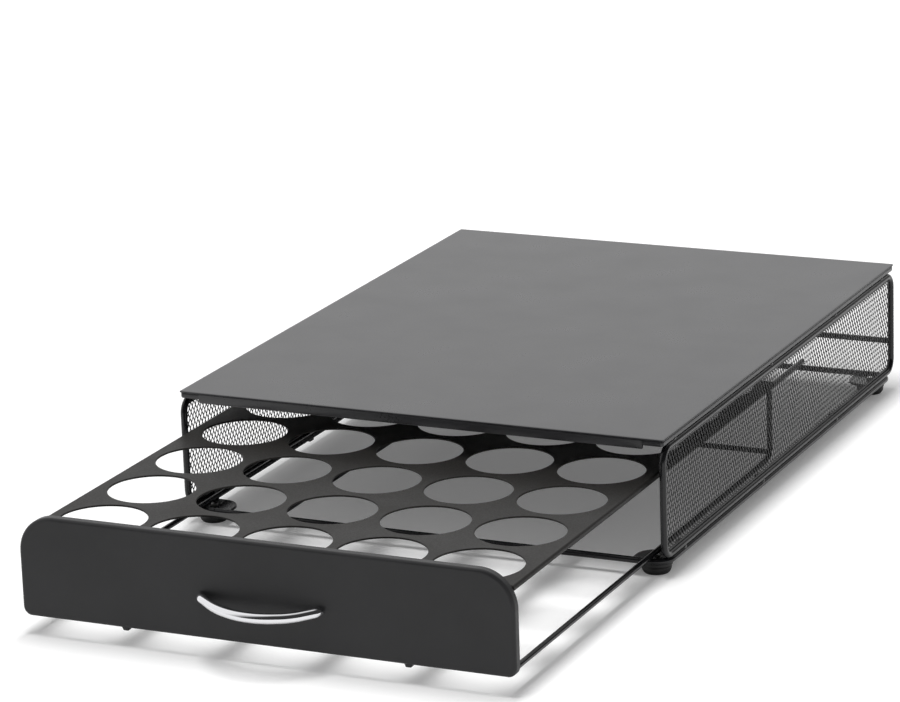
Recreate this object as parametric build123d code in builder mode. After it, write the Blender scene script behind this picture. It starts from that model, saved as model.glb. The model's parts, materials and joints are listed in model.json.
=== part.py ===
from build123d import *
from math import hypot
import os

# Drawer stand for coffee capsules. A steel lid and two mesh-filled side frames stand on a rod base.
# A holed tray in a rod-framed drawer runs inside on two rods and pulls out to the front, towards -Y.
# The origin is on the ground in the middle of the footprint, with the drawer pulled out as it rests.
# Millimetres, +Z up.

# Housing
housing_width = 293.0
housing_depth = 382.0
housing_height = 79.2
weld_gap = 0.1  # between a rod and what is welded to it

# Lid and its front apron
lid_sheet = 1.2
lid_flange = 4.0
lid_side_inset = 0.5  # from the side frames' outer sides
lid_corner_radius = 1.3
lid_edge_radius = 0.6
apron_sheet = 1.0
apron_drop = 2.0  # below the lid's flange
apron_lip = 8.0
apron_inset = 12.5  # from the lid's side to the seam

# Side frames and their mesh
frame_rod = 3.8
frame_bend = 8.0  # to the rod's centre
frame_drop = 0.2  # from the lid's flange to the top of the frame
frame_setback = 0.1
mesh_sheet = 0.6
mesh_border = 2.0
mesh_strand = 1.7
mesh_cells_along = 24
mesh_cells_up = 2
mesh_clearance = 0.1

# Base
base_rod = 3.6
base_bend = 9.5
base_leg = 6.0  # straight end of a side rod after its bend
base_setback = 4.5  # from the housing's front and rear to the rod's centre
rail_rod = 3.6
rail_spacing = 174.0
rail_inset = 0.5
rear_bar_rod = 3.6
rear_bar_height = 30.5
plate_sheet = 1.5
plate_size = 20.0
plate_inner_radius = 11.0
plate_hole = 4.1

# Feet and their screws
foot_height = 6.9
foot_diameter = 17.6
foot_rim = 2.3
foot_body_diameter = 16.6
foot_bottom_diameter = 13.6
foot_bevel_height = 1.9
foot_hole = 4.4
foot_recess_diameter = 7.6
foot_recess_depth = 3.0
foot_screw_diameter = 3.9
foot_screw_head_diameter = 6.8
foot_screw_head_height = 1.8
foot_screw_reach = 1.4  # above the corner plate

# Weld tabs
tab_sheet = 1.2
top_tab_length = 6.0
top_tabs_from_front = (18.0, 167.0)
top_tabs_from_rear = (22.0, 106.0)
base_tab_length = 5.0
base_tab_height = 8.6
base_tab_overhang = 1.3  # below the base rods
base_tabs_from_front = (29.6, 151.0)
base_tabs_from_rear = (106.0,)

# Drawer front
drawer_pull = 188.0  # from the housing's front to the face of the drawer at rest
drawer_side_clearance = 1.5  # to the side frames
drawer_head_clearance = 7.0  # to the apron
drawer_sheet = 1.2
drawer_flange = 5.2
drawer_upper_radius = 20.0
drawer_lower_radius = 5.0
drawer_edge_radius = 1.8
drawer_lift = 0.3  # of the drawer front above the front base rod
notch_clearance = 0.25

# Handle and its screws
handle_spacing = 67.3
handle_rise = 13.9  # from the drawer's face to the middle of the bow
handle_droop = 2.7  # from the height of its feet down to the middle of the bow
handle_above_bottom = 23.0
handle_flat = 22.0
handle_leg = 3.0
handle_foot_bend = 3.6
handle_bow_bend = 38.0
handle_rod = 5.5
handle_screw_diameter = 2.5
handle_screw_clearance = 0.05
handle_screw_depth = 3.0
handle_screw_head_diameter = 5.0
handle_screw_head_height = 1.6

# Drawer's rods
drawer_rod = 3.2
drawer_rod_inset = 5.2  # from the drawer front's side to the rod's centre
drawer_rod_bend = 8.0
running_gap = 0.2  # between the drawer's rods and the rods that carry them
drawer_depth_allowance = 6.0  # housing's depth less the way from the drawer's face to the posts

# Capsule tray
tray_sheet = 1.0
tray_inset = 2.2  # from the drawer front's side
tray_flange = 2.5
tray_drop = 8.7  # from the drawer front's upper edge to the top of the tray
tray_tongue_inset = 5.0  # from the tray's side
tray_corner_radius = 3.0
tray_front_clearance = 0.5
hole_diameter = 48.0
hole_spacing = 54.0
hole_columns = 5
hole_rows = 7
first_hole_row = 29.8  # from the back of the drawer front

# Stop tabs under the drawer front
stop_spacing = 162.0
stop_width = 5.0
stop_front = 2.0
stop_length = 3.0
stop_height = 3.0
stop_radius = 1.2

# Places that follow from the sizes
handle_reach = handle_rise + handle_rod / 2
front_y = -(housing_depth - drawer_pull - handle_reach) / 2
rear_y = front_y + housing_depth
lid_width = housing_width - 2 * lid_side_inset
lid_underside = housing_height - lid_sheet
flange_bottom = housing_height - lid_flange
apron_bottom = flange_bottom - apron_drop
base_z = foot_height + base_rod / 2
base_top = foot_height + base_rod
base_front_y = front_y + base_setback
base_rear_y = rear_y - base_setback
frame_bottom = base_top + weld_gap
frame_top = flange_bottom - frame_drop
frame_front_y = front_y + frame_setback
frame_rear_y = rear_y - frame_setback
frame_x = housing_width / 2 - frame_rod / 2
frame_inner_x = frame_x - frame_rod / 2
frame_middle_y = (frame_front_y + frame_rear_y) / 2
frame_middle_z = (frame_bottom + frame_top) / 2
rail_z = base_top + weld_gap + rail_rod / 2
face_y = front_y - drawer_pull
face_back_y = face_y + drawer_sheet
drawer_width = housing_width - 2 * (frame_rod + drawer_side_clearance)
drawer_bottom = base_top + drawer_lift
drawer_top = apron_bottom - drawer_head_clearance
drawer_rod_z = base_top + running_gap + drawer_rod / 2
drawer_rod_x = drawer_width / 2 - drawer_rod_inset
post_y = face_y + housing_depth - drawer_depth_allowance
cross_rod_z = rail_z + rail_rod / 2 + running_gap + drawer_rod / 2
tray_top = drawer_top - tray_drop
tray_underside = tray_top - tray_sheet
tray_rear_y = post_y + drawer_rod / 2 + weld_gap + tray_sheet

os.makedirs("parts", exist_ok=True)


# Rods
def straight_rod(name, diameter, start, end):
    """Write a straight round rod from one point to another."""
    with BuildPart() as rod:
        with BuildLine() as axis:
            Line(start, end)
        with BuildSketch(Plane(origin=start, z_dir=axis.line % 0)):
            Circle(diameter / 2)
        sweep(path=axis.line)
    rod.part.label = name
    export_step(rod.part, f"parts/{name}.step")


def bent_rod(name, diameter, points, bend):
    """Write a round rod along straight runs with a bend at each inner point."""
    with BuildPart() as rod:
        with BuildLine() as route:
            FilletPolyline(*points, radius=bend)
        with BuildSketch(Plane(origin=route.line @ 0, z_dir=route.line % 0)):
            Circle(diameter / 2)
        sweep(path=route.line)
    rod.part.label = name
    export_step(rod.part, f"parts/{name}.step")


sides = (("left", -1), ("right", 1))
ends = (("front", 1, base_front_y), ("rear", -1, base_rear_y))

# Lid: a shallow pan with its flange turned down
with BuildPart() as top_panel:
    with BuildSketch(Plane.XY.offset(flange_bottom)):
        with Locations((0, (front_y + rear_y) / 2)):
            RectangleRounded(lid_width, housing_depth, lid_corner_radius)
    extrude(amount=lid_flange)
    fillet(top_panel.faces().sort_by(Axis.Z)[-1].edges(), radius=lid_edge_radius)
    offset(amount=-lid_sheet, openings=top_panel.faces().sort_by(Axis.Z)[0])
top_panel.part.label = "top_panel"
export_step(top_panel.part, "parts/top_panel.step")

# Apron: an angle strip behind the lid's front flange
apron_front_y = front_y + lid_sheet
apron_width = lid_width - 2 * apron_inset
with BuildPart() as front_apron:
    with BuildSketch(Plane.YZ):
        with BuildLine():
            Polyline(
                (apron_front_y, apron_bottom),
                (apron_front_y, lid_underside),
                (apron_front_y + apron_lip, lid_underside),
                (apron_front_y + apron_lip, lid_underside - apron_sheet),
                (apron_front_y + apron_sheet, lid_underside - apron_sheet),
                (apron_front_y + apron_sheet, apron_bottom),
                close=True,
            )
        make_face()
    extrude(amount=apron_width / 2, both=True)
front_apron.part.label = "front_apron"
export_step(front_apron.part, "parts/front_apron.step")

# Side frames: each a rod bent into a closed upright ring
for side, sign in sides:
    ring_points = (
        (sign * frame_x, frame_middle_y, frame_bottom + frame_rod / 2),
        (sign * frame_x, frame_rear_y - frame_rod / 2, frame_bottom + frame_rod / 2),
        (sign * frame_x, frame_rear_y - frame_rod / 2, frame_top - frame_rod / 2),
        (sign * frame_x, frame_middle_y, frame_top - frame_rod / 2),
    )
    with BuildPart() as side_frame:
        with BuildLine() as ring:
            FilletPolyline(*ring_points, radius=frame_bend)
        with BuildSketch(Plane(origin=ring_points[0], z_dir=(0, 1, 0))):
            Circle(frame_rod / 2)
        sweep(path=ring.line)
        mirror(about=Plane.XZ.offset(-frame_middle_y))
    side_frame.part.label = f"side_frame_{side}"
    export_step(side_frame.part, f"parts/side_frame_{side}.step")

# Side meshes: expanded metal, a sheet with staggered upright diamonds inside a plain border
mesh_length = frame_rear_y - frame_front_y - 2 * (frame_rod + mesh_clearance)
mesh_height = frame_top - frame_bottom - 2 * (frame_rod + mesh_clearance)
field_length = mesh_length - 2 * mesh_border
field_height = mesh_height - 2 * mesh_border
cell_length = field_length / mesh_cells_along
cell_height = field_height / mesh_cells_up
strand_share = mesh_strand * hypot(cell_length, cell_height) / (cell_length * cell_height)
gap_half_length = cell_length / 2 * (1 - strand_share)
gap_half_height = cell_height / 2 * (1 - strand_share)
with BuildSketch() as mesh_gaps:
    for extra in (0, 1):
        with GridLocations(cell_length, cell_height, mesh_cells_along + extra, mesh_cells_up + extra):
            Polygon(
                (gap_half_length, 0),
                (0, gap_half_height),
                (-gap_half_length, 0),
                (0, -gap_half_height),
            )
    Rectangle(field_length, field_height, mode=Mode.INTERSECT)
for side, sign in sides:
    mesh_middle = (sign * frame_x, frame_middle_y, frame_middle_z)
    with BuildPart() as side_mesh:
        with BuildSketch(Plane(origin=mesh_middle, x_dir=(0, 1, 0), z_dir=(1, 0, 0))):
            RectangleRounded(mesh_length, mesh_height, frame_bend - frame_rod / 2 - mesh_clearance)
            add(mesh_gaps.sketch, mode=Mode.SUBTRACT)
        extrude(amount=mesh_sheet / 2, both=True)
    side_mesh.part.label = f"side_mesh_{side}"
    export_step(side_mesh.part, f"parts/side_mesh_{side}.step")

# Base: two side rods with bent ends, and straight front and rear rods between them
leg_end_x = frame_x - base_bend - base_leg
for side, sign in sides:
    side_points = (
        (sign * leg_end_x, base_front_y, base_z),
        (sign * frame_x, base_front_y, base_z),
        (sign * frame_x, base_rear_y, base_z),
        (sign * leg_end_x, base_rear_y, base_z),
    )
    bent_rod(f"base_rod_{side}", base_rod, side_points, base_bend)
for end, _, rod_y in ends:
    straight_rod(f"base_rod_{end}", base_rod, (-leg_end_x, rod_y, base_z), (leg_end_x, rod_y, base_z))

# Slide rails on the front and rear base rods, and the bar across the open back
rail_front_y = base_front_y + rail_inset
rail_rear_y = base_rear_y + base_rod / 2
for side, sign in sides:
    rail_x = sign * rail_spacing / 2
    rail_start = (rail_x, rail_front_y, rail_z)
    rail_end = (rail_x, rail_rear_y, rail_z)
    straight_rod(f"slide_rail_{side}", rail_rod, rail_start, rail_end)
rear_bar_x = frame_inner_x - weld_gap
rear_bar_y = frame_rear_y - frame_rod / 2
straight_rod(
    "rear_bar",
    rear_bar_rod,
    (-rear_bar_x, rear_bar_y, rear_bar_height),
    (rear_bar_x, rear_bar_y, rear_bar_height),
)

# Corner plates in the base's corners, each with a foot under it
plate_outer_radius = base_bend - base_rod / 2 - weld_gap
foot_x = frame_x - base_bend
plate_top = foot_height + plate_sheet
foot_places = []
for end, inward, rod_y in ends:
    for side, sign in sides:
        plate_x = sign * (frame_x - base_rod / 2 - weld_gap - plate_size / 2)
        plate_y = rod_y + inward * (base_rod / 2 + weld_gap + plate_size / 2)
        foot_y = rod_y + inward * base_bend
        foot_places.append((sign * foot_x, foot_y))
        with BuildPart() as corner_plate:
            with BuildSketch(Plane.XY.offset(foot_height)) as outline:
                with Locations((plate_x, plate_y)):
                    Rectangle(plate_size, plate_size)
                outward = Axis((0, 0, 0), (sign, -inward, 0))
                corners = outline.vertices().sort_by(outward)
                fillet(corners[-1], radius=plate_outer_radius)
                fillet(outline.vertices().sort_by(outward)[0], radius=plate_inner_radius)
                with Locations((sign * foot_x, foot_y)):
                    Circle(plate_hole / 2, mode=Mode.SUBTRACT)
            extrude(amount=plate_sheet)
        corner_plate.part.label = f"corner_plate_{end}_{side}"
        export_step(corner_plate.part, f"parts/corner_plate_{end}_{side}.step")

        # Foot: a rim under the plate and a narrower body with a bevelled edge, with a recess for the screw
        with BuildPart() as foot:
            with BuildSketch(Plane(origin=(sign * foot_x, foot_y, 0), x_dir=(1, 0, 0), z_dir=(0, -1, 0))):
                with BuildLine():
                    Polyline(
                        (foot_recess_diameter / 2, 0),
                        (foot_recess_diameter / 2, foot_recess_depth),
                        (foot_hole / 2, foot_recess_depth),
                        (foot_hole / 2, foot_height),
                        (foot_diameter / 2, foot_height),
                        (foot_diameter / 2, foot_height - foot_rim),
                        (foot_body_diameter / 2, foot_height - foot_rim),
                        (foot_body_diameter / 2, foot_bevel_height),
                        (foot_bottom_diameter / 2, 0),
                        close=True,
                    )
                make_face()
            revolve(axis=Axis((sign * foot_x, foot_y, 0), (0, 0, 1)))
        foot.part.label = f"foot_{end}_{side}"
        export_step(foot.part, f"parts/foot_{end}_{side}.step")

# Foot screws: pan heads in the recesses, shanks up through the corner plates
with BuildPart() as foot_screws:
    with BuildSketch(Plane.XY.offset(foot_recess_depth - foot_screw_head_height)):
        with Locations(*foot_places):
            Circle(foot_screw_head_diameter / 2)
    extrude(amount=foot_screw_head_height)
    with BuildSketch(Plane.XY.offset(foot_recess_depth)):
        with Locations(*foot_places):
            Circle(foot_screw_diameter / 2)
    extrude(amount=plate_top + foot_screw_reach - foot_recess_depth)
foot_screws.part.label = "foot_screws"
export_step(foot_screws.part, "parts/foot_screws.step")

# Weld tabs between the side frames and the lid, just inside the lid's flange
top_tab_x = lid_width / 2 - lid_sheet - weld_gap - tab_sheet / 2
top_tab_height = lid_underside - frame_top - weld_gap
top_tab_ys = [front_y + place for place in top_tabs_from_front]
top_tab_ys += [rear_y - place for place in top_tabs_from_rear]
with BuildPart() as top_weld_tabs:
    with BuildSketch(Plane.XY.offset(frame_top + weld_gap)):
        for tab_y in top_tab_ys:
            with Locations((-top_tab_x, tab_y), (top_tab_x, tab_y)):
                Rectangle(tab_sheet, top_tab_length)
    extrude(amount=top_tab_height)
top_weld_tabs.part.label = "top_weld_tabs"
export_step(top_weld_tabs.part, "parts/top_weld_tabs.step")

# Weld tabs between the side frames and the base's side rods, on their inner side
base_tab_x = frame_inner_x - weld_gap - tab_sheet / 2
base_tab_ys = [front_y + place for place in base_tabs_from_front]
base_tab_ys += [rear_y - place for place in base_tabs_from_rear]
with BuildPart() as base_weld_tabs:
    with BuildSketch(Plane.XY.offset(foot_height - base_tab_overhang)):
        for tab_y in base_tab_ys:
            with Locations((-base_tab_x, tab_y), (base_tab_x, tab_y)):
                Rectangle(tab_sheet, base_tab_length)
    extrude(amount=base_tab_height)
base_weld_tabs.part.label = "base_weld_tabs"
export_step(base_weld_tabs.part, "parts/base_weld_tabs.step")

# Drawer front: a pan with its return flange towards the back, notched where the side rods pass
handle_x = handle_spacing / 2
handle_z = drawer_bottom + handle_above_bottom
notch_width = drawer_rod + 2 * notch_clearance
notch_top = drawer_rod_z + notch_width / 2
face_plane = Plane(origin=(0, face_y, 0), x_dir=(1, 0, 0), z_dir=(0, -1, 0))
with BuildPart() as drawer_front:
    with BuildSketch(face_plane) as front_outline:
        with Locations((0, (drawer_bottom + drawer_top) / 2)):
            Rectangle(drawer_width, drawer_top - drawer_bottom)
        fillet(front_outline.vertices().group_by(Axis.Y)[-1], radius=drawer_upper_radius)
        fillet(front_outline.vertices().group_by(Axis.Y)[0], radius=drawer_lower_radius)
    extrude(amount=-drawer_flange)
    fillet(drawer_front.faces().sort_by(Axis.Y)[0].edges(), radius=drawer_edge_radius)
    offset(amount=-drawer_sheet, openings=drawer_front.faces().sort_by(Axis.Y)[-1])
    with BuildSketch(face_plane.offset(-drawer_sheet)):
        with Locations((-drawer_rod_x, notch_top / 2), (drawer_rod_x, notch_top / 2)):
            Rectangle(notch_width, notch_top)
    extrude(amount=-drawer_flange, mode=Mode.SUBTRACT)
    with BuildSketch(face_plane):
        with Locations((-handle_x, handle_z), (handle_x, handle_z)):
            Circle(handle_screw_diameter / 2 + handle_screw_clearance)
    extrude(amount=-drawer_sheet, mode=Mode.SUBTRACT)
drawer_front.part.label = "drawer_front"
export_step(drawer_front.part, "parts/drawer_front.step")

# Handle: a round bar in one smooth bow that droops a little, square to the drawer's face at its feet
bow_y = face_y - handle_rise
bow_z = handle_z - handle_droop
bow_points = (
    (-handle_x, face_y, handle_z),
    (-handle_x, face_y - handle_leg, handle_z),
    (-handle_flat / 2, bow_y, bow_z),
    (handle_flat / 2, bow_y, bow_z),
    (handle_x, face_y - handle_leg, handle_z),
    (handle_x, face_y, handle_z),
)
bow_bends = (handle_foot_bend, handle_bow_bend, handle_bow_bend, handle_foot_bend)
with BuildPart() as handle:
    with BuildLine() as bow:
        FilletPolyline(*bow_points, radius=bow_bends)
    with BuildSketch(Plane(origin=bow_points[0], x_dir=(1, 0, 0), z_dir=(0, -1, 0))):
        Circle(handle_rod / 2)
    sweep(path=bow.line)
    with BuildSketch(face_plane):
        with Locations((-handle_x, handle_z), (handle_x, handle_z)):
            Circle(handle_screw_diameter / 2 + handle_screw_clearance)
    extrude(amount=handle_screw_depth + handle_screw_clearance, mode=Mode.SUBTRACT)
handle.part.label = "handle"
export_step(handle.part, "parts/handle.step")

# Handle screws, with their heads behind the drawer front
with BuildPart() as handle_screws:
    with BuildSketch(face_plane.offset(-drawer_sheet - handle_screw_head_height)):
        with Locations((-handle_x, handle_z), (handle_x, handle_z)):
            Circle(handle_screw_head_diameter / 2)
    extrude(amount=handle_screw_head_height)
    with BuildSketch(face_plane.offset(-drawer_sheet)):
        with Locations((-handle_x, handle_z), (handle_x, handle_z)):
            Circle(handle_screw_diameter / 2)
    extrude(amount=drawer_sheet + handle_screw_depth)
handle_screws.part.label = "handle_screws"
export_step(handle_screws.part, "parts/handle_screws.step")

# Drawer's side rods, bent up at the back into the posts that carry the tray
for side, sign in sides:
    rod_points = (
        (sign * drawer_rod_x, face_back_y, drawer_rod_z),
        (sign * drawer_rod_x, post_y, drawer_rod_z),
        (sign * drawer_rod_x, post_y, tray_underside - weld_gap),
    )
    bent_rod(f"drawer_rod_{side}", drawer_rod, rod_points, drawer_rod_bend)

# Cross rod between the bends, which rests on the slide rails
bend_rise = drawer_rod_bend - (cross_rod_z - drawer_rod_z)
cross_rod_y = post_y - drawer_rod_bend + (drawer_rod_bend**2 - bend_rise**2) ** 0.5
cross_rod_x = drawer_rod_x - drawer_rod / 2 - weld_gap
straight_rod(
    "drawer_cross_rod",
    drawer_rod,
    (-cross_rod_x, cross_rod_y, cross_rod_z),
    (cross_rod_x, cross_rod_y, cross_rod_z),
)

# Capsule tray: a sheet with its edges turned down, and a tongue that fits inside the drawer front
tray_width = drawer_width - 2 * tray_inset
tray_front_y = face_y + drawer_flange + tray_front_clearance
hole_middle_y = face_back_y + first_hole_row + (hole_rows - 1) * hole_spacing / 2
with BuildPart() as capsule_tray:
    with BuildSketch(Plane.XY.offset(tray_top - tray_flange)) as tray_outline:
        with Locations((0, (tray_front_y + tray_rear_y) / 2)):
            Rectangle(tray_width, tray_rear_y - tray_front_y)
        fillet(tray_outline.vertices().group_by(Axis.Y)[-1], radius=tray_corner_radius)
        with Locations((0, (face_back_y + tray_front_y) / 2)):
            Rectangle(tray_width - 2 * tray_tongue_inset, tray_front_y - face_back_y)
    extrude(amount=tray_flange)
    offset(amount=-tray_sheet, openings=capsule_tray.faces().sort_by(Axis.Z)[0])
    with BuildSketch(Plane.XY.offset(tray_underside)):
        with Locations((0, hole_middle_y)):
            with GridLocations(hole_spacing, hole_spacing, hole_columns, hole_rows):
                Circle(hole_diameter / 2)
    extrude(amount=tray_sheet, mode=Mode.SUBTRACT)
capsule_tray.part.label = "capsule_tray"
export_step(capsule_tray.part, "parts/capsule_tray.step")

# Stop tabs under the drawer front, which meet the front base rod when the drawer is shut
with BuildPart() as stop_tabs:
    with BuildSketch(Plane.XY.offset(drawer_bottom)):
        with Locations((-stop_spacing / 2, face_y + stop_front + stop_length / 2)):
            Rectangle(stop_width, stop_length)
        with Locations((stop_spacing / 2, face_y + stop_front + stop_length / 2)):
            Rectangle(stop_width, stop_length)
    extrude(amount=-stop_height)
    fillet(stop_tabs.edges().group_by(Axis.Z)[0], radius=stop_radius)
stop_tabs.part.label = "stop_tabs"
export_step(stop_tabs.part, "parts/stop_tabs.step")
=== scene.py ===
import json
from math import cos, hypot, pi, radians, sin, tan

import bmesh
import bpy
from mathutils import Matrix, Vector, noise


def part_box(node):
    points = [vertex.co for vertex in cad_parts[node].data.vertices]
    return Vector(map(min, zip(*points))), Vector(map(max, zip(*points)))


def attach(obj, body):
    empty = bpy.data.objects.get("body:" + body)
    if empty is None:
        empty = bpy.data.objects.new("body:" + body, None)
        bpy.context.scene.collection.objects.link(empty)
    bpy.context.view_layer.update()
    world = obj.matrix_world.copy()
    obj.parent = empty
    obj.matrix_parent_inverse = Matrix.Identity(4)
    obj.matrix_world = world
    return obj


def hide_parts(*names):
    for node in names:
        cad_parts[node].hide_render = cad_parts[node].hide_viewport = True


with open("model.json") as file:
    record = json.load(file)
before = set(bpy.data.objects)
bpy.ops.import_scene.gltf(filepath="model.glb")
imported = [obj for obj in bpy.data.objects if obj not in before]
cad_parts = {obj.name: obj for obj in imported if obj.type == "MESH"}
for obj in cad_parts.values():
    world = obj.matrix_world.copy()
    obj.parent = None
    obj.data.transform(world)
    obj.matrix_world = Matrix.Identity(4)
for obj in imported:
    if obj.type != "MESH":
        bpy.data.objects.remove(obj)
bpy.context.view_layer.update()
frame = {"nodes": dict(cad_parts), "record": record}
scene = bpy.context.scene

# Sizes below are in millimetres and are turned into metres when a mesh is made.
MM = 0.001
UP = Vector((0, 0, 1))


def box_mm(node):
    """Lowest and highest corner of a CAD node, in millimetres."""
    low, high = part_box(node)
    return Vector(low) / MM, Vector(high) / MM


lid_low, lid_high = box_mm("top_panel")
tray_low, tray_high = box_mm("capsule_tray")

# Camera, fitted to the photograph. Its place is given from the middle of the housing's lower front edge.
camera_place = Vector((910.064, -1887.576, 717.546)) + Vector((0, lid_low.y, 0))
azimuth, elevation, roll = radians(25.17701), radians(16.04325), radians(-1.98386)
focal_pixels = 4012.414
image_width = 900
sensor_width = 36
back = Vector((sin(azimuth) * cos(elevation), -cos(azimuth) * cos(elevation), sin(elevation)))
right = (-back).cross(UP).normalized()
above = right.cross(-back)
camera_x = right * cos(roll) + above * sin(roll)
camera_y = -right * sin(roll) + above * cos(roll)
camera_data = bpy.data.cameras.new("camera")
camera_data.sensor_fit = "HORIZONTAL"
camera_data.sensor_width = sensor_width
camera_data.lens = focal_pixels / image_width * sensor_width
camera = bpy.data.objects.new("camera", camera_data)
turn = Matrix((camera_x, camera_y, back)).transposed().to_4x4()
camera.matrix_world = Matrix.Translation(camera_place * MM) @ turn
scene.collection.objects.link(camera)
scene.camera = camera
scene.view_settings.view_transform = "Standard"


# Nodes
def new_material(name):
    """An empty node material: its node tree and its shader."""
    material = bpy.data.materials.new(name)
    material.use_nodes = True
    return material, material.node_tree, material.node_tree.nodes["Principled BSDF"]


def noise_texture(tree, coordinates, scale, detail=2.0, roughness=0.5):
    """A noise texture in the part's own coordinates."""
    node = tree.nodes.new("ShaderNodeTexNoise")
    node.inputs["Scale"].default_value = scale
    node.inputs["Detail"].default_value = detail
    node.inputs["Roughness"].default_value = roughness
    tree.links.new(coordinates, node.inputs["Vector"])
    return node.outputs["Fac"]


def map_range(tree, value, source, target):
    """Maps a value from one range to another."""
    node = tree.nodes.new("ShaderNodeMapRange")
    node.inputs["From Min"].default_value = source[0]
    node.inputs["From Max"].default_value = source[1]
    node.inputs["To Min"].default_value = target[0]
    node.inputs["To Max"].default_value = target[1]
    tree.links.new(value, node.inputs["Value"])
    return node.outputs["Result"]


def combine(tree, operation, one, other):
    """The sum or product of two values."""
    node = tree.nodes.new("ShaderNodeMath")
    node.operation = operation
    tree.links.new(one, node.inputs[0])
    tree.links.new(other, node.inputs[1])
    return node.outputs["Value"]


def background(tree, strength):
    """An even white background."""
    node = tree.nodes.new("ShaderNodeBackground")
    node.inputs["Color"].default_value = (1, 1, 1, 1)
    node.inputs["Strength"].default_value = strength
    return node


def choose_shader(tree, ray, otherwise, when):
    """One shader, or another one for a kind of ray."""
    node = tree.nodes.new("ShaderNodeMixShader")
    tree.links.new(ray, node.inputs["Fac"])
    tree.links.new(otherwise, node.inputs[1])
    tree.links.new(when, node.inputs[2])
    return node.outputs["Shader"]


# Materials
noise_middle = (0.3, 0.7)  # where most of a noise texture's values lie
patch_scale = 30.0


def finish_material(name, colour, roughness, grain, depth, metallic=0.0, ior=1.5, drift=0.15, rub=0.05):
    """A coat or bare metal: fine grain in bump and roughness, and a faint drift of colour in patches."""
    material, tree, shader = new_material(name)
    shader.inputs["Metallic"].default_value = metallic
    shader.inputs["IOR"].default_value = ior
    coordinates = tree.nodes.new("ShaderNodeTexCoord").outputs["Object"]
    fine = noise_texture(tree, coordinates, grain)
    broad = noise_texture(tree, coordinates, patch_scale, detail=4.0)

    mix = tree.nodes.new("ShaderNodeMix")
    mix.data_type = "RGBA"
    mix.inputs["A"].default_value = (*[c * (1 - drift) for c in colour], 1)
    mix.inputs["B"].default_value = (*[c * (1 + drift) for c in colour], 1)
    tree.links.new(map_range(tree, broad, noise_middle, (0.0, 1.0)), mix.inputs["Factor"])
    tree.links.new(mix.outputs["Result"], shader.inputs["Base Color"])

    patches = map_range(tree, broad, noise_middle, (roughness - rub, roughness + rub))
    grains = map_range(tree, fine, noise_middle, (-rub, rub))
    tree.links.new(combine(tree, "ADD", patches, grains), shader.inputs["Roughness"])

    bump = tree.nodes.new("ShaderNodeBump")
    bump.inputs["Strength"].default_value = 1.0
    bump.inputs["Distance"].default_value = depth * MM
    tree.links.new(fine, bump.inputs["Height"])
    tree.links.new(bump.outputs["Normal"], shader.inputs["Normal"])
    return material


slot_materials = {
    "lid_paint": finish_material(
        "satin_black_lid", (0.024, 0.024, 0.026), 0.30, 1100, 0.012, drift=0.06, rub=0.018
    ),
    "drawer_paint": finish_material(
        "satin_black_drawer", (0.024, 0.024, 0.025), 0.42, 1100, 0.015, ior=1.36
    ),
    # The tray is black paint like the drawer's, but its colour is set darker than the drawer's paint as
    # painted shade from the capsules that would sit in its holes.
    "tray_paint": finish_material(
        "satin_black_tray_with_painted_shade", (0.016, 0.015, 0.014), 0.48, 1100, 0.015, ior=1.28
    ),
    "mesh_paint": finish_material(
        "satin_black_mesh", (0.004, 0.004, 0.005), 0.34, 1400, 0.012, ior=1.30
    ),
    "frame_paint": finish_material(
        "satin_black_rods", (0.007, 0.007, 0.008), 0.22, 1400, 0.010, ior=1.45
    ),
    "rubber": finish_material(
        "black_rubber", (0.012, 0.012, 0.012), 0.50, 2200, 0.02, ior=1.45, rub=0.06
    ),
    "chrome": finish_material(
        "chrome", (0.80, 0.80, 0.82), 0.035, 700, 0.0004, metallic=1.0, drift=0.02, rub=0.01
    ),
    "screw_steel": finish_material(
        "zinc_steel", (0.48, 0.48, 0.47), 0.30, 1600, 0.004, metallic=1.0, drift=0.08
    ),
}

# The CAD nodes that stay get the same materials, by their slots in the record.
for subpart in frame["record"]["subparts"]:
    node = frame["nodes"][subpart["node"]]
    for place in node.material_slots:
        place.material = slot_materials[subpart["material_slot"]]

# Mesh helpers
weld_distance = 0.002  # points closer than this become one
flat_rim = 0.5  # of a sheet's flat face, between its edge and the fill
least_turn = 0.3  # keeps a sharp corner of an inset loop from running away


def make_piece(name, mesh, body, slot_name, *nodes, sharp=35):
    """Turns a bmesh in millimetres into a piece that rides on a body and stands for some CAD nodes."""
    bmesh.ops.remove_doubles(mesh, verts=mesh.verts, dist=weld_distance)
    bmesh.ops.recalc_face_normals(mesh, faces=mesh.faces)
    bmesh.ops.scale(mesh, vec=(MM, MM, MM), verts=mesh.verts)
    data = bpy.data.meshes.new(name)
    mesh.to_mesh(data)
    mesh.free()
    data.shade_smooth()
    data.set_sharp_from_angle(angle=radians(sharp))
    data.materials.append(slot_materials[slot_name])
    piece = bpy.data.objects.new(name, data)
    scene.collection.objects.link(piece)
    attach(piece, body)
    if nodes:
        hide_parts(*nodes)
    return piece


def circle(centre, side, across, radius, sides):
    """Points round a circle, or round an oval where the two directions differ in length."""
    turns = [2 * pi * k / sides for k in range(sides)]
    return [centre + (side * cos(t) + across * sin(t)) * radius for t in turns]


def loft(mesh, loops, ring=False, cap_start=False, cap_end=False):
    """Quads between closed loops of points. A ring joins the last loop to the first."""
    rows = [[mesh.verts.new(point) for point in loop] for loop in loops]
    pairs = list(zip(rows, rows[1:]))
    if ring:
        pairs.append((rows[-1], rows[0]))
    count = len(rows[0])
    for one, other in pairs:
        for i in range(count):
            j = (i + 1) % count
            mesh.faces.new((one[i], one[j], other[j], other[i]))
    if cap_start:
        mesh.faces.new(rows[0])
    if cap_end:
        mesh.faces.new(rows[-1])
    return rows


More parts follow.
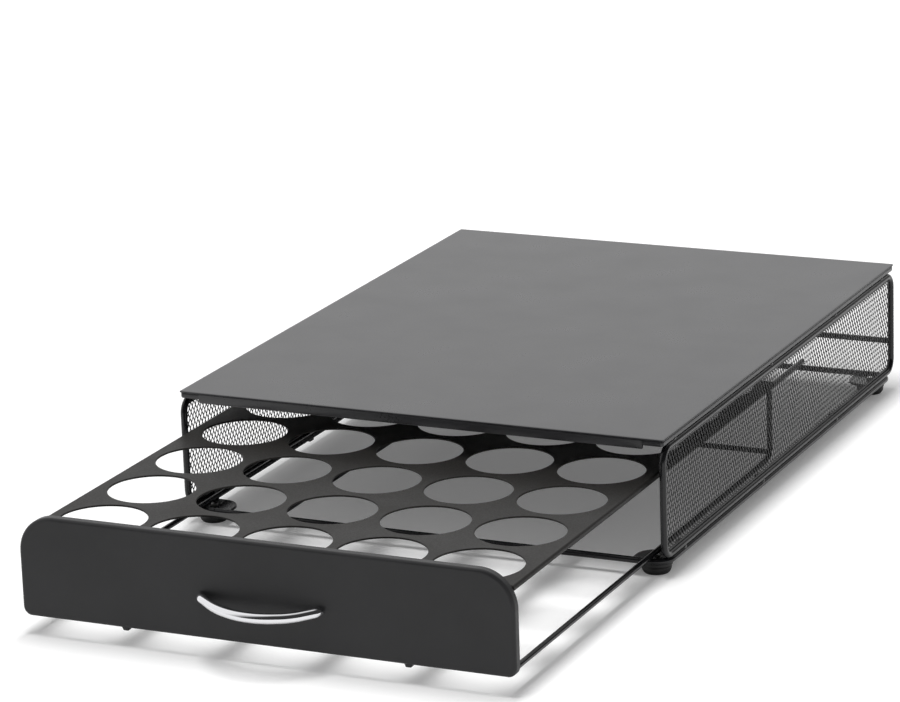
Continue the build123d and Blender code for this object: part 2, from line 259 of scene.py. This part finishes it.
def bent_path(points, bends, closed=False, steps=12):
    """Points with directions along straight runs, with an arc of the given radius at each corner."""
    points = [Vector(p) for p in points]
    count = len(points)
    path = []
    for i, corner in enumerate(points):
        if not closed and i in (0, count - 1):
            other = points[1] if i == 0 else points[count - 2]
            heading = (other - corner).normalized() * (1 if i == 0 else -1)
            path.append((corner, heading))
            continue
        arriving = (corner - points[i - 1]).normalized()
        leaving = (points[(i + 1) % count] - corner).normalized()
        axis = arriving.cross(leaving).normalized()
        angle = arriving.angle(leaving)
        radius = bends[i] if isinstance(bends, (list, tuple)) else bends
        start = corner - arriving * radius * tan(angle / 2)
        centre = start + axis.cross(arriving) * radius
        for step in range(steps + 1):
            rotation = Matrix.Rotation(angle * step / steps, 3, axis)
            path.append((centre + rotation @ (start - centre), rotation @ arriving))
    return path


def rod(mesh, path, normal, radius, sides=24, closed=False, chamfer=0.3):
    """A round bar along a path, without twist. Its ends have a small chamfer."""
    stations = [(place, heading, radius) for place, heading in path]
    if not closed:
        first, first_heading, _ = stations[0]
        last, last_heading, _ = stations[-1]
        stations[0] = (first + first_heading * chamfer, first_heading, radius)
        stations[-1] = (last - last_heading * chamfer, last_heading, radius)
        stations.insert(0, (first, first_heading, radius - chamfer))
        stations.append((last, last_heading, radius - chamfer))
    loops = []
    side = Vector(normal)
    for place, heading, size in stations:
        side = (side - heading * side.dot(heading)).normalized()
        loops.append(circle(place, side, heading.cross(side), size, sides))
    loft(mesh, loops, ring=closed, cap_start=not closed, cap_end=not closed)


def lathe(mesh, centre, axis, profile, sides=48):
    """A turned form. The profile is pairs of radius and height, and starts and ends on the axis."""
    axis = Vector(axis).normalized()
    side = axis.orthogonal().normalized()
    across = axis.cross(side)
    centre = Vector(centre)
    turned = profile[1:-1]
    loops = [circle(centre + axis * height, side, across, radius, sides) for radius, height in turned]
    loft(mesh, loops, cap_start=True, cap_end=True)


def inset(loop, amount):
    """A closed flat loop, moved to its left by some millimetres."""
    moved = []
    for i, point in enumerate(loop):
        arriving = (Vector(point) - Vector(loop[i - 1])).normalized()
        leaving = (Vector(loop[(i + 1) % len(loop)]) - Vector(point)).normalized()
        left = Vector((-arriving.y, arriving.x))
        middle = (left + Vector((-leaving.y, leaving.x))).normalized()
        moved.append(Vector(point) + middle * amount / max(middle.dot(left), least_turn))
    return moved


def rounded_loop(low, high, radius, steps=8):
    """Flat loop round a rectangle with rounded corners, anticlockwise from its lower right corner.
    Four radii go with the lower right, upper right, upper left and lower left corners."""
    radii = radius if isinstance(radius, (list, tuple)) else [radius] * 4
    corners = (
        (high[0], low[1], -1, 1),
        (high[0], high[1], -1, -1),
        (low[0], high[1], 1, -1),
        (low[0], low[1], 1, 1),
    )
    loop = []
    for quarter, ((x, y, inward_x, inward_y), size) in enumerate(zip(corners, radii)):
        for k in range(steps + 1):
            angle = pi / 2 * (quarter - 1 + k / steps)
            loop.append((x + size * (inward_x + cos(angle)), y + size * (inward_y + sin(angle))))
    return loop


def circle_hole(x, y, radius, sides=48):
    """Flat loop round a hole, clockwise, so that the material is on its left."""
    turns = [2 * pi * k / sides for k in range(sides)]
    return [(x + radius * cos(t), y - radius * sin(t)) for t in turns]


def close_flat(mesh, rows, normal):
    """Fills the flat area that some closed rows of points bound."""
    edges = []
    for row in rows:
        for k, point in enumerate(row):
            following = row[(k + 1) % len(row)]
            edges.append(mesh.edges.get((point, following)) or mesh.edges.new((point, following)))
    bmesh.ops.triangle_fill(mesh, edges=edges, use_beauty=True, normal=normal)


def flat_sheet(mesh, outline, holes, low, high, edge, outer_steps=()):
    """A level sheet with softly rounded edges. Loops have the material on their left.
    The outline may follow other steps of inset and height, such as those of a flange."""
    soft = edge * 0.3
    plain_steps = (
        (edge + flat_rim, high),
        (edge, high),
        (soft, high - soft),
        (0.0, high - edge),
        (0.0, low + edge),
        (soft, low + soft),
        (edge, low),
        (edge + flat_rim, low),
    )
    tops, undersides = [], []
    for loop, steps in [(outline, outer_steps or plain_steps)] + [(hole, plain_steps) for hole in holes]:
        rows = loft(mesh, [[(x, y, z) for x, y in inset(loop, amount)] for amount, z in steps])
        tops.append(rows[0])
        undersides.append(rows[-1])
    close_flat(mesh, tops, UP)
    close_flat(mesh, undersides, -UP)


def cross_socket(angle, width, reach):
    """Radius of a cross-shaped socket at an angle."""
    folded = abs((angle + pi / 4) % (pi / 2) - pi / 4)
    if sin(folded) * reach < width * cos(folded):
        return reach / cos(folded)
    return width / sin(folded)


def pan_head_screw(mesh, seat, axis, head_radius, head_height, shank_radius, shank_length, sides=48):
    """A screw with a domed head and a cross socket. The axis points from the head to the tip."""
    axis = Vector(axis)
    side = axis.orthogonal().normalized()
    across = axis.cross(side)
    socket_width, socket_reach = head_radius * 0.15, head_radius * 0.55
    steps = [
        (None, -head_height * 0.35),  # the socket's floor and its mouth
        (None, -head_height * 0.97),
        (head_radius * 0.72, -head_height),
        (head_radius * 0.9, -head_height * 0.8),
        (head_radius, -head_height * 0.45),
        (head_radius, -0.15),
        (head_radius - 0.15, 0.0),
        (shank_radius, 0.0),
        (shank_radius, shank_length - 0.4),
        (shank_radius - 0.4, shank_length),
    ]
    loops = []
    for radius, height in steps:
        loop = []
        for k in range(sides):
            angle = 2 * pi * k / sides
            size = cross_socket(angle, socket_width, socket_reach) if radius is None else radius
            loop.append(Vector(seat) + axis * height + (side * cos(angle) + across * sin(angle)) * size)
        loops.append(loop)
    loft(mesh, loops, cap_start=True, cap_end=True)


# Side frames: closed rings of round bar
ring_bend = 8.0
for side in ("left", "right"):
    low, high = box_mm(f"side_frame_{side}")
    radius = (high.x - low.x) / 2
    x = (low.x + high.x) / 2
    corners = [
        (x, low.y + radius, low.z + radius),
        (x, high.y - radius, low.z + radius),
        (x, high.y - radius, high.z - radius),
        (x, low.y + radius, high.z - radius),
    ]
    mesh = bmesh.new()
    rod(mesh, bent_path(corners, ring_bend, closed=True), (1, 0, 0), radius, closed=True)
    make_piece(f"ring_{side}", mesh, "housing", "frame_paint", f"side_frame_{side}")

# Side screens: expanded metal with small upright diamonds, staggered row by row, in a plain border
screen_border = 1.0
screen_cells_along = 104
screen_cells_up = 9
screen_corner = 6.0
strand_width = 1.14
strand_sheet = 0.45
strand_tilt = 0.24  # of a strand's edges out of the plane, as the sheet is slit and stretched
acute_share, blunt_share = 0.94, 1.05  # of the strand's width, in a cell's narrow and wide corners
shoulder_reach, shoulder_height = 0.62, 0.72  # of a strand's half width and half thickness
deepest_share = 0.8  # of the way to a cell's middle that a strand may take up
smallest_cell = 1.5  # in square millimetres; smaller remnants stay plain
touching = 1e-6


def clip(polygon, across, up, least):
    """The part of a flat polygon where across * y + up * z is at least some value."""
    kept = []
    for i, point in enumerate(polygon):
        before = polygon[i - 1]
        here = across * point[0] + up * point[1] - least
        there = across * before[0] + up * before[1] - least
        if here * there < 0 and min(abs(here), abs(there)) > touching:
            share = there / (there - here)
            kept.append(tuple(b + (p - b) * share for b, p in zip(before, point)))
        if here > -touching:
            kept.append(point)
    return kept


def clip_to_field(polygon, length, height, corner):
    """A diamond cut to the field from 0 to length and from 0 to height, whose corners are cut off."""
    for across, up, least in (
        (1, 0, 0),
        (-1, 0, -length),
        (0, 1, 0),
        (0, -1, -height),
        (1, 1, corner),
        (-1, 1, corner - length),
        (1, -1, corner - height),
        (-1, -1, corner - length - height),
    ):
        polygon = clip(polygon, across, up, least)
    return polygon


def flat_area(polygon):
    """Area of a flat polygon."""
    pairs = zip(polygon, polygon[1:] + polygon[:1])
    return abs(sum(a[0] * b[1] - a[1] * b[0] for a, b in pairs)) / 2


def toward(point, middle, amount):
    """A point moved some millimetres towards the middle of its cell."""
    reach = hypot(middle[0] - point[0], middle[1] - point[1])
    share = min(amount / reach, deepest_share)
    return (point[0] + (middle[0] - point[0]) * share, point[1] + (middle[1] - point[1]) * share)


def strands_round(cell, middle, acute_reach, blunt_reach):
    """Loops round a cell: the middle line of its strands, their shoulders and their inner edges."""
    outline, shoulders, edges = [], [], []
    for point, following in zip(cell, cell[1:] + cell[:1]):
        between = ((point[0] + following[0]) / 2, (point[1] + following[1]) / 2)
        upright = abs(point[1] - middle[1]) > abs(point[0] - middle[0])
        reach = acute_reach if upright else blunt_reach
        for place, amount in ((point, reach), (between, strand_width / 2)):
            outline.append(place)
            shoulders.append(toward(place, middle, amount * shoulder_reach))
            edges.append(toward(place, middle, amount))
    return outline, shoulders, edges


def expanded_field(mesh, x, corner_y, corner_z, length, height, corner_cut):
    """Staggered diamonds between tilted strands, over a field that starts at a corner."""
    step_y = length / screen_cells_along
    step_z = height / screen_cells_up
    slant = hypot(step_y, step_z)
    acute_reach = strand_width / 2 * slant / step_y * acute_share
    blunt_reach = strand_width / 2 * slant / step_z * blunt_share
    for column in range(0, 2 * screen_cells_along + 1):
        for row in range(column % 2, 2 * screen_cells_up + 1, 2):
            y, z = column * step_y / 2, row * step_z / 2
            diamond = [(y + step_y / 2, z), (y, z + step_z / 2), (y - step_y / 2, z), (y, z - step_z / 2)]
            cell = clip_to_field(diamond, length, height, corner_cut)
            if flat_area(cell) < smallest_cell:
                continue
            middle = (sum(p[0] for p in cell) / len(cell), sum(p[1] for p in cell) / len(cell))
            outline, shoulders, edges = strands_round(cell, middle, acute_reach, blunt_reach)
            loops = []
            for line, out, tilt in (
                (outline, 1, 0),
                (shoulders, shoulder_height, shoulder_reach),
                (edges, 0, 1),
                (shoulders, -shoulder_height, shoulder_reach),
                (outline, -1, 0),
            ):
                level = x + strand_sheet / 2 * out
                lean = tilt * strand_tilt / (step_y / 2)
                loops.append([(level + lean * (u - middle[0]), u + corner_y, v + corner_z) for u, v in line])
            loft(mesh, loops)


for side in ("left", "right"):
    low, high = box_mm(f"side_mesh_{side}")
    x = (low.x + high.x) / 2
    length = high.y - low.y - 2 * screen_border
    height = high.z - low.z - 2 * screen_border
    corner_cut = (screen_corner - screen_border) * (2 - 2**0.5)
    mesh = bmesh.new()
    expanded_field(mesh, x, low.y + screen_border, low.z + screen_border, length, height, corner_cut)
    bmesh.ops.remove_doubles(mesh, verts=mesh.verts, dist=weld_distance)
    rim = [edge for edge in mesh.edges if edge.is_boundary]
    outer = rounded_loop((low.y, low.z), (high.y, high.z), screen_corner)
    rows = loft(mesh, [[(x + strand_sheet / 2 * sign, y, z) for y, z in outer] for sign in (1, -1)])
    for row, sign in zip(rows, (1, -1)):
        edges = [edge for edge in rim if (edge.verts[0].co.x - x) * sign > 0]
        edges += [mesh.edges.get((row[k], row[(k + 1) % len(row)])) for k in range(len(row))]
        bmesh.ops.triangle_fill(mesh, edges=edges, use_beauty=True, normal=(sign, 0, 0))
    make_piece(f"screen_{side}", mesh, "housing", "mesh_paint", f"side_mesh_{side}", sharp=60)

# Base, rails, rear bar and the drawer's rods
base_bend = 9.5
drawer_bend = 8.0


def straight(name, node, body, axis):
    """A straight rod that fills its CAD node's box along an axis."""
    low, high = box_mm(node)
    middle = (low + high) / 2
    start, end = middle.copy(), middle.copy()
    start[axis], end[axis] = low[axis], high[axis]
    heading = (end - start).normalized()
    mesh = bmesh.new()
    rod(mesh, [(start, heading), (end, heading)], UP, (high.z - low.z) / 2)
    make_piece(name, mesh, body, "frame_paint", node)


straight("base_bar_front", "base_rod_front", "housing", 0)
straight("base_bar_rear", "base_rod_rear", "housing", 0)
straight("rail_bar_left", "slide_rail_left", "housing", 1)
straight("rail_bar_right", "slide_rail_right", "housing", 1)
straight("rear_cross_bar", "rear_bar", "housing", 0)
straight("drawer_cross_bar", "drawer_cross_rod", "drawer", 0)
for side, sign in (("left", -1), ("right", 1)):
    low, high = box_mm(f"base_rod_{side}")
    radius = (high.z - low.z) / 2
    inner, outer = (low.x, high.x - radius) if sign > 0 else (high.x, low.x + radius)
    z = (low.z + high.z) / 2
    corners = [
        (inner, low.y + radius, z),
        (outer, low.y + radius, z),
        (outer, high.y - radius, z),
        (inner, high.y - radius, z),
    ]
    mesh = bmesh.new()
    rod(mesh, bent_path(corners, base_bend), UP, radius)
    make_piece(f"base_side_{side}", mesh, "housing", "frame_paint", f"base_rod_{side}")

    low, high = box_mm(f"drawer_rod_{side}")
    radius = (high.x - low.x) / 2
    x = (low.x + high.x) / 2
    corners = [
        (x, low.y, low.z + radius),
        (x, high.y - radius, low.z + radius),
        (x, high.y - radius, high.z),
    ]
    mesh = bmesh.new()
    rod(mesh, bent_path(corners, drawer_bend), (1, 0, 0), radius)
    make_piece(f"drawer_side_{side}", mesh, "drawer", "frame_paint", f"drawer_rod_{side}")

# Handle: one smooth chromed bow that droops a little from its feet. Each point of one half is a distance
# from the drawer's middle, one from the drawer's face, and a share of the droop.
handle_low, handle_high = box_mm("handle")
handle_radius = 2.75
handle_x = handle_high.x - handle_radius
handle_y = handle_high.y
handle_rise = handle_y - handle_radius - handle_low.y
handle_top = handle_high.z - handle_radius
handle_droop = handle_high.z - handle_low.z - 2 * handle_radius
bow_points = ((handle_x, 0.0, 0.0), (handle_x, 2.2, 0.0), (21.6, 8.8, 0.85), (6.8, handle_rise, 1.0))
bow_bends = (0, 3.4, 60.0, 38.0)
corners = [(-x, handle_y - y, handle_top - handle_droop * share) for x, y, share in bow_points]
corners += [(x, handle_y - y, handle_top - handle_droop * share) for x, y, share in reversed(bow_points)]
mesh = bmesh.new()
path = bent_path(corners, bow_bends + bow_bends[::-1], steps=16)
rod(mesh, path, UP, handle_radius, sides=48, chamfer=0.15)
make_piece("bow_handle", mesh, "drawer", "chrome", "handle")

# Stop tabs under the drawer front: pressed nibs with rounded, tapering ends
tabs_low, tabs_high = box_mm("stop_tabs")
nib_width, nib_drop = 5.0, 2.1
nib_corner = 0.9
nib_corner_x = 1.0  # from a nib's middle to the centres of its rounded corners
nib_bevel = 0.3
nib_x = (tabs_high.x - tabs_low.x - nib_width) / 2
nib_thickness = tabs_high.y - tabs_low.y
nib_outline = [(-nib_width / 2, 0.0)]
for quarter, centre_x in ((0, -nib_corner_x), (1, nib_corner_x)):
    for k in range(9):
        angle = pi + pi / 2 * (quarter + k / 8)
        z = -nib_drop + nib_corner + nib_corner * sin(angle)
        nib_outline.append((centre_x + nib_corner * cos(angle), z))
nib_outline.append((nib_width / 2, 0.0))
nib_steps = (
    (0.0, nib_bevel),
    (nib_bevel, 0.0),
    (nib_thickness - nib_bevel, 0.0),
    (nib_thickness, nib_bevel),
)
mesh = bmesh.new()
for x in (-nib_x, nib_x):
    loops = []
    for y, amount in nib_steps:
        loop = inset(nib_outline, amount)
        loops.append([(x + p.x, tabs_low.y + y, tabs_high.z + min(p.y, 0.0)) for p in loop])
    loft(mesh, loops, cap_start=True, cap_end=True)
make_piece("stop_nibs", mesh, "drawer", "frame_paint", "stop_tabs", sharp=50)

# Feet: turned rubber with a rim, a groove under it and a slightly bulging body, round a recess for the screw
foot_recess = 3.0
foot_profile = [
    (0.0, foot_recess),
    (2.25, foot_recess),
    (3.6, foot_recess),
    (3.8, 2.8),
    (3.8, 0.25),
    (4.05, 0.0),
    (6.5, 0.0),
    (6.85, 0.15),
    (7.5, 0.9),
    (8.0, 1.9),
    (8.25, 3.0),
    (8.2, 4.0),
    (7.95, 4.4),
    (7.9, 4.55),
    (8.5, 4.65),
    (8.75, 4.9),
    (8.8, 5.4),
    (8.8, 6.4),
    (8.65, 6.75),
    (8.4, 6.9),
    (0.0, 6.9),
]
plate_outer, plate_inner, plate_plain = 7.6, 11.0, 0.8  # radii of a corner plate's corners
plate_hole = 2.05
plate_edge = 0.25
plate_radii = {
    ("front", "left"): (plate_plain, plate_inner, plate_plain, plate_outer),
    ("front", "right"): (plate_outer, plate_plain, plate_inner, plate_plain),
    ("rear", "left"): (plate_inner, plate_plain, plate_outer, plate_plain),
    ("rear", "right"): (plate_plain, plate_outer, plate_plain, plate_inner),
}
foot_places = []
for end in ("front", "rear"):
    for side in ("left", "right"):
        low, high = box_mm(f"foot_{end}_{side}")
        middle = (low + high) / 2
        foot_places.append((middle.x, middle.y))
        mesh = bmesh.new()
        lathe(mesh, (middle.x, middle.y, 0), UP, foot_profile, sides=64)
        make_piece(f"rubber_{end}_{side}", mesh, "housing", "rubber", f"foot_{end}_{side}")

        # Plate above the foot, with a wide curve towards the inside
        low, high = box_mm(f"corner_plate_{end}_{side}")
        outline = rounded_loop((low.x, low.y), (high.x, high.y), plate_radii[end, side])
        hole = circle_hole(middle.x, middle.y, plate_hole)
        mesh = bmesh.new()
        flat_sheet(mesh, outline, [hole], low.z, high.z, plate_edge)
        make_piece(f"plate_{end}_{side}", mesh, "housing", "frame_paint", f"corner_plate_{end}_{side}")

# Screws, each with the radius and height of its head and the radius of its shank
foot_screw = (3.4, 1.8, 1.95)
handle_screw = (2.5, 1.6, 1.25)
low, high = box_mm("foot_screws")
mesh = bmesh.new()
for x, y in foot_places:
    pan_head_screw(mesh, (x, y, foot_recess), UP, *foot_screw, high.z - foot_recess)
make_piece("screws_under_feet", mesh, "housing", "screw_steel", "foot_screws", sharp=30)
low, high = box_mm("handle_screws")
seat_y = high.y - handle_screw[1]
mesh = bmesh.new()
for x in (-handle_x, handle_x):
    pan_head_screw(mesh, (x, seat_y, handle_top), (0, -1, 0), *handle_screw, seat_y - low.y)
make_piece("screws_behind_handle", mesh, "drawer", "screw_steel", "handle_screws", sharp=30)

# Lid: its sheet stands a little proud of the rounded flange under it. Each step is an inset, a height
# measured from the top, and a radius of the corners.
lid_profile = (
    (2.0, 0.0, 1.2),
    (0.5, 0.0, 1.2),
    (0.18, -0.06, 1.3),
    (0.03, -0.22, 1.3),
    (0.0, -0.42, 1.3),
    (0.03, -0.64, 1.3),
    (0.18, -0.80, 1.3),
    (0.5, -0.86, 1.4),
    (0.62, -0.95, 1.6),
    (0.60, -1.1, 1.8),
    (0.42, -1.35, 2.0),
    (0.34, -1.7, 2.0),
    (0.34, -3.0, 2.0),
    (0.40, -3.45, 2.0),
    (0.56, -3.82, 1.9),
    (0.76, -3.97, 1.8),
    (0.9, -4.0, 1.7),
    (1.08, -3.93, 1.5),
    (1.2, -3.7, 1.4),
    (1.2, -1.4, 1.4),
    (1.4, -1.2, 1.3),
    (3.0, -1.2, 1.2),
)
mesh = bmesh.new()
loops = []
for amount, depth, corner in lid_profile:
    low_corner = (lid_low.x + amount, lid_low.y + amount)
    high_corner = (lid_high.x - amount, lid_high.y - amount)
    loops.append([(x, y, lid_high.z + depth) for x, y in rounded_loop(low_corner, high_corner, corner)])
rows = loft(mesh, loops)
close_flat(mesh, [rows[0]], UP)
close_flat(mesh, [rows[-1]], -UP)
make_piece("lid", mesh, "housing", "lid_paint", "top_panel")

# Front strip: hooked round the lid's front flange between two seams, with a lip under the lid. Its section
# is measured back from the lid's front and up from the lid's top.
apron_low, apron_high = box_mm("front_apron")
strip_bevel, strip_bevel_length = 0.1, 0.15
strip_section = (
    (0.30, -1.0),
    (0.12, -1.12),
    (0.04, -1.4),
    (0.04, -5.3),
    (0.12, -5.75),
    (0.4, -6.0),
    (1.9, -6.0),
    (2.15, -5.85),
    (2.2, -5.6),
    (2.2, -2.5),
    (2.5, -2.2),
    (9.2, -2.2),
    (9.2, -1.25),
    (1.26, -1.25),
    (1.26, -4.06),
    (0.30, -4.06),
)
strip_stations = (
    (apron_low.x, strip_bevel),
    (apron_low.x + strip_bevel_length, 0.0),
    (apron_high.x - strip_bevel_length, 0.0),
    (apron_high.x, strip_bevel),
)
mesh = bmesh.new()
loops = []
for x, amount in strip_stations:
    loops.append([(x, lid_low.y + y, lid_high.z + z) for y, z in inset(strip_section, amount)])
rows = loft(mesh, loops)
close_flat(mesh, [rows[0]], Vector((-1, 0, 0)))
close_flat(mesh, [rows[-1]], Vector((1, 0, 0)))
make_piece("front_strip", mesh, "housing", "lid_paint", "front_apron", sharp=50)

# Capsule tray: a holed sheet with turned-down edges, and a tongue inside the drawer front
tongue_inset = 5.0
tongue_length = 4.5
rear_corner = 3.0
hole_radius = 24.0
hole_spacing = 54.0
hole_rows = 7
hole_columns = range(-2, 3)  # counted from the middle one
first_hole_row = 29.8
hole_edge = 0.3
tray_sheet = 1.0
fold = 1.2
hem, hem_height = 0.15, 0.2  # bevel on the lower edge of the turned-down sides
inner_bevel = 0.3
shoulder_y = tray_low.y + tongue_length
outline = [
    (tray_low.x + tongue_inset, tray_low.y),
    (tray_high.x - tongue_inset, tray_low.y),
    (tray_high.x - tongue_inset, shoulder_y),
    (tray_high.x, shoulder_y),
]
corner_steps = 8
back_corners = rounded_loop((tray_low.x, shoulder_y), (tray_high.x, tray_high.y), rear_corner, corner_steps)
outline += back_corners[corner_steps + 1 : 3 * (corner_steps + 1)]
outline += [(tray_low.x, shoulder_y), (tray_low.x + tongue_inset, shoulder_y)]
holes = [
    circle_hole(column * hole_spacing, tray_low.y + first_hole_row + row * hole_spacing, hole_radius, 72)
    for row in range(hole_rows)
    for column in hole_columns
]
underside = tray_high.z - tray_sheet
tray_steps = [(fold + flat_rim, tray_high.z)]
tray_steps += [(fold * (1 - sin(pi / 8 * k)), tray_high.z - fold * (1 - cos(pi / 8 * k))) for k in range(5)]
tray_steps += [
    (0.0, tray_low.z + hem_height),
    (hem, tray_low.z),
    (tray_sheet - hem, tray_low.z),
    (tray_sheet, tray_low.z + hem_height),
    (tray_sheet, underside - inner_bevel),
    (tray_sheet + inner_bevel, underside),
    (fold + flat_rim, underside),
]
mesh = bmesh.new()
flat_sheet(mesh, outline, holes, underside, tray_high.z, hole_edge, tray_steps)
make_piece("holed_tray", mesh, "drawer", "tray_paint", "capsule_tray")

# Weld beads at the tabs, in the grooves under the lid's flange and over the base rods
bead_length = 4.6
bead_steps = 14
bead_fullness = 0.6  # a power; the lower it is, the blunter a bead's ends
bead_unevenness = 0.12
base_bead_reach = (1.35, 2.2)  # outwards and upwards from a bead's middle line
top_bead_reach = (1.15, 1.5)
ring_low, ring_high = box_mm("side_frame_right")
base_bead_place = (ring_high.x - 1.6, ring_low.z - 0.7)
top_bead_place = (ring_high.x - 1.7, (ring_high.z + lid_low.z) / 2)
base_bead_ys = (lid_low.y + 29.6, lid_low.y + 151.0, lid_high.y - 106.0)
top_bead_ys = (lid_low.y + 18.0, lid_low.y + 167.0, lid_high.y - 106.0, lid_high.y - 22.0)


def weld_bead(mesh, centre, reach, seed):
    """A small uneven bead along Y."""
    outwards = Vector((reach[0], 0, 0))
    upwards = Vector((0, 0, reach[1]))
    loops = []
    for i in range(1, bead_steps):
        angle = pi * i / bead_steps
        size = sin(angle) ** bead_fullness * (1 + bead_unevenness * noise.noise((i * 0.6, seed, 0.0)))
        place = Vector(centre) + Vector((0, -bead_length / 2 * cos(angle), 0))
        loops.append(circle(place, outwards, upwards, size, 16))
    loft(mesh, loops, cap_start=True, cap_end=True)


for side, sign in (("left", -1), ("right", 1)):
    mesh = bmesh.new()
    x, z = base_bead_place
    for seed, y in enumerate(base_bead_ys):
        weld_bead(mesh, (sign * x, y, z), base_bead_reach, seed + sign)
    make_piece(f"base_weld_beads_{side}", mesh, "housing", "frame_paint", sharp=60)
    mesh = bmesh.new()
    x, z = top_bead_place
    for seed, y in enumerate(top_bead_ys):
        weld_bead(mesh, (sign * x, y, z), top_bead_reach, seed - sign)
    make_piece(f"top_weld_beads_{side}", mesh, "housing", "frame_paint", sharp=60)

# Floor: a plain pale sheet just under the feet, which the camera sees go white farther off. Here in metres.
floor_half = 6.0
floor_z = -0.05 * MM
near_and_far = (0.4, 2.0)
white_near_and_far = (0.13, 0.9)
floor_mesh = bpy.data.meshes.new("floor")
floor_corners = [(x * floor_half, y * floor_half, floor_z) for x, y in ((-1, -1), (1, -1), (1, 1), (-1, 1))]
floor_mesh.from_pydata(floor_corners, [], [(0, 1, 2, 3)])
floor = bpy.data.objects.new("floor", floor_mesh)
scene.collection.objects.link(floor)
floor_material, floor_tree, floor_shader = new_material("pale_floor")
floor_shader.inputs["Base Color"].default_value = (0.93, 0.93, 0.93, 1)
floor_shader.inputs["Roughness"].default_value = 0.8
floor_shader.inputs["Specular IOR Level"].default_value = 0.1
floor_shader.inputs["Emission Color"].default_value = (1, 1, 1, 1)
floor_rays = floor_tree.nodes.new("ShaderNodeLightPath")
distance = floor_tree.nodes.new("ShaderNodeVectorMath")
distance.operation = "LENGTH"
floor_tree.links.new(floor_tree.nodes.new("ShaderNodeTexCoord").outputs["Object"], distance.inputs[0])
white = map_range(floor_tree, distance.outputs["Value"], near_and_far, white_near_and_far)
seen_white = combine(floor_tree, "MULTIPLY", floor_rays.outputs["Is Camera Ray"], white)
floor_tree.links.new(seen_white, floor_shader.inputs["Emission Strength"])
floor_mesh.materials.append(floor_material)

# World: white where the camera sees it, and even as light. Reflections see a dark room low in front.
bright_side = (-0.75, 0.42, 0.25)
dark_to_bright = (0.05, 0.45)  # how far a direction turns to the bright side
mirrored_levels = (0.04, 1.0)
light_level = 0.42
world = bpy.data.worlds.new("studio")
scene.world = world
world.use_nodes = True
tree = world.node_tree
tree.nodes.clear()
rays = tree.nodes.new("ShaderNodeLightPath")
weigh = tree.nodes.new("ShaderNodeVectorMath")
weigh.operation = "DOT_PRODUCT"
weigh.inputs[1].default_value = bright_side
tree.links.new(tree.nodes.new("ShaderNodeTexCoord").outputs["Generated"], weigh.inputs[0])
level = map_range(tree, weigh.outputs["Value"], dark_to_bright, mirrored_levels)
mirrored = background(tree, 1.0)
tree.links.new(level, mirrored.inputs["Strength"])
lighting = background(tree, light_level)
seen = background(tree, 1.0)
by_reflection = choose_shader(
    tree, rays.outputs["Is Glossy Ray"], lighting.outputs["Background"], mirrored.outputs["Background"]
)
by_camera = choose_shader(tree, rays.outputs["Is Camera Ray"], by_reflection, seen.outputs["Background"])
tree.links.new(by_camera, tree.nodes.new("ShaderNodeOutputWorld").inputs["Surface"])

# One soft lamp overhead, a little to the left, long from front to back. Here in metres and watts.
lamp_data = bpy.data.lights.new("softbox", "AREA")
lamp_data.shape = "RECTANGLE"
lamp_data.size = 0.4
lamp_data.size_y = 1.4
lamp_data.energy = 39.0
lamp = bpy.data.objects.new("softbox", lamp_data)
lamp.location = (-0.04, -0.20, 2.2)
lamp.visible_glossy = False
scene.collection.objects.link(lamp)
